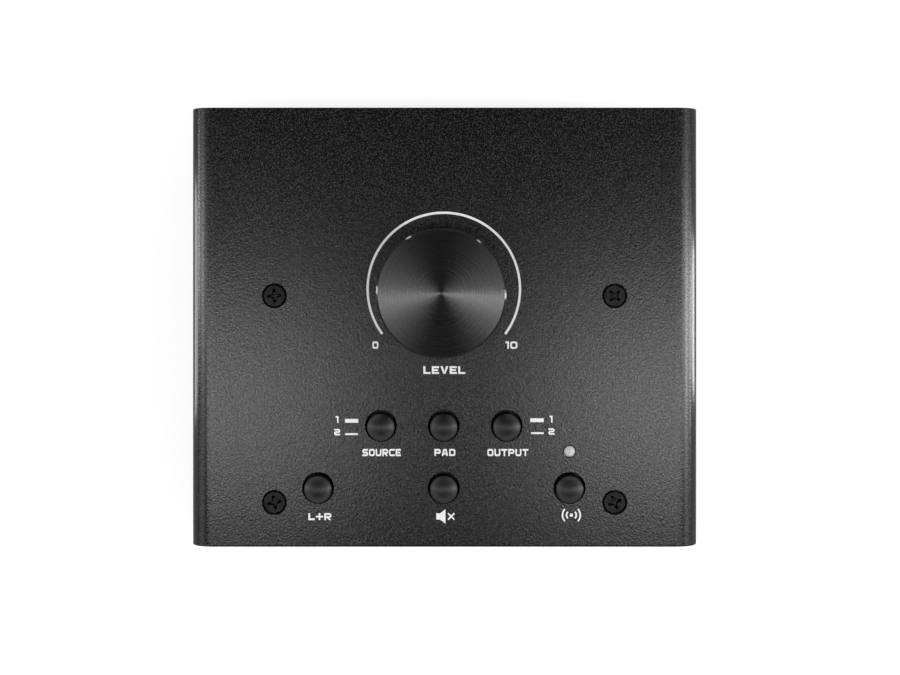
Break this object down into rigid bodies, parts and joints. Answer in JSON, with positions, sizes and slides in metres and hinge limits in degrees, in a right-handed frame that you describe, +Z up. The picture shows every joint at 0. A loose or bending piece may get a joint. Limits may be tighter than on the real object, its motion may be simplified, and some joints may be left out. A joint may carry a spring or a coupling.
{
  "type": "studio monitor controller",
  "caption": "Desktop monitor controller: folded black steel box with a large turned volume knob, round push buttons, a status lamp and rear sockets.",
  "frame": {"origin": "on the surface the feet stand on, under the middle of the case", "axes": "+Z up, +X to the right and +Y to the rear as the user faces the buttons"},
  "size_m": [0.1314, 0.1136, 0.065],
  "materials": {
    "cover_paint": "fine textured black powder coat",
    "base_paint": "satin black powder coat",
    "foot_rubber": "matt black rubber",
    "zinc_screws": "zinc plated",
    "black_screws": "black oxide",
    "standoff_brass": "turned",
    "board_laminate": "green solder mask",
    "module_laminate": "blue solder mask",
    "pot_steel": "bright stamped steel",
    "wafer_phenolic": "brown laminate",
    "nickel": "nickel plated",
    "rotor_plastic": "natural nylon",
    "knob_aluminium": "black anodised, turned",
    "cap_plastic": "satin black, domed",
    "insert_plastic": "moulded",
    "switch_plastic": "moulded",
    "plunger_plastic": "white moulded",
    "lamp_lens": "diffused clear epoxy",
    "black_plastic": "moulded",
    "rocker_plastic": "moulded",
    "can_steel": "tinned",
    "chip_epoxy": "moulded epoxy",
    "capacitor_sleeve": "printed sleeve",
    "ribbon_grey": "vinyl"
  },
  "bodies": {
    "case": {"amplifier_chips": "chip_epoxy", "board_headers": "switch_plastic", "chassis_base": "base_paint", "control_board": "board_laminate", "control_board_screws": "zinc_screws", "filter_capacitors": "capacitor_sleeve", "foot_screws": "zinc_screws", "inlet_pin": "nickel", "input_jacks": "black_plastic", "io_board": "board_laminate", "io_board_screws": "zinc_screws", "io_standoffs": "standoff_brass", "jack_bushings": "nickel", "jack_nuts": "nickel", "jack_washers": "nickel", "lamp_spacer": "black_plastic", "mini_jack": "black_plastic", "mini_jack_nut": "nickel", "output_a_jacks": "black_plastic", "output_b_jacks": "black_plastic", "pot_bushing": "nickel", "pot_housing": "pot_steel", "pot_nut": "nickel", "pot_wafers": "wafer_phenolic", "pot_washer": "nickel", "power_housing": "black_plastic", "power_inlet": "black_plastic", "rear_panel": "base_paint", "rear_panel_screws": "black_screws", "regulator_tab": "can_steel", "ribbon_cable": "ribbon_grey", "ribbon_plugs": "switch_plastic", "rubber_feet": "foot_rubber", "side_screws": "black_screws", "status_lamp": "lamp_lens", "switch_housings": "switch_plastic", "tab_nuts": "zinc_screws", "top_cover": "cover_paint", "top_screws": "black_screws", "top_standoffs": "standoff_brass", "voltage_regulator": "chip_epoxy", "wireless_board": "module_laminate", "wireless_can": "can_steel"},
    "volume_control": {"volume_knob": "knob_aluminium", "knob_insert": "insert_plastic", "pot_shaft": "nickel", "pot_rotor": "rotor_plastic"},
    "source_key": {"source_button": "cap_plastic", "source_plunger": "plunger_plastic"},
    "pad_key": {"pad_button": "cap_plastic", "pad_plunger": "plunger_plastic"},
    "output_key": {"output_button": "cap_plastic", "output_plunger": "plunger_plastic"},
    "mono_key": {"mono_button": "cap_plastic", "mono_plunger": "plunger_plastic"},
    "mute_key": {"mute_button": "cap_plastic", "mute_plunger": "plunger_plastic"},
    "wireless_key": {"wireless_button": "cap_plastic", "wireless_plunger": "plunger_plastic"},
    "power_key": {"power_rocker": "rocker_plastic"}
  },
  "joints": [
    {"name": "volume_turn", "type": "hinge", "parent": "case", "child": "volume_control", "pos_m": [-0.0008, 0.009, 0.046], "axis": [0, 0, -1], "range_deg": [-150, 150]},
    {"name": "source_press", "type": "slide", "parent": "case", "child": "source_key", "axis": [0, 0, -1], "range_m": [0, 0.0026], "stiffness_N_per_m": 400},
    {"name": "pad_press", "type": "slide", "parent": "case", "child": "pad_key", "axis": [0, 0, -1], "range_m": [0, 0.0026], "stiffness_N_per_m": 400},
    {"name": "output_press", "type": "slide", "parent": "case", "child": "output_key", "axis": [0, 0, -1], "range_m": [0, 0.0026], "stiffness_N_per_m": 400},
    {"name": "mono_press", "type": "slide", "parent": "case", "child": "mono_key", "axis": [0, 0, -1], "range_m": [0, 0.0026], "stiffness_N_per_m": 400},
    {"name": "mute_press", "type": "slide", "parent": "case", "child": "mute_key", "axis": [0, 0, -1], "range_m": [0, 0.0026], "stiffness_N_per_m": 400},
    {"name": "wireless_press", "type": "slide", "parent": "case", "child": "wireless_key", "axis": [0, 0, -1], "range_m": [0, 0.0026], "stiffness_N_per_m": 400},
    {"name": "power_rock", "type": "hinge", "parent": "case", "child": "power_key", "pos_m": [0.056, 0.0528, 0.0215], "axis": [1, 0, 0], "range_deg": [0, 20]}
  ]
}
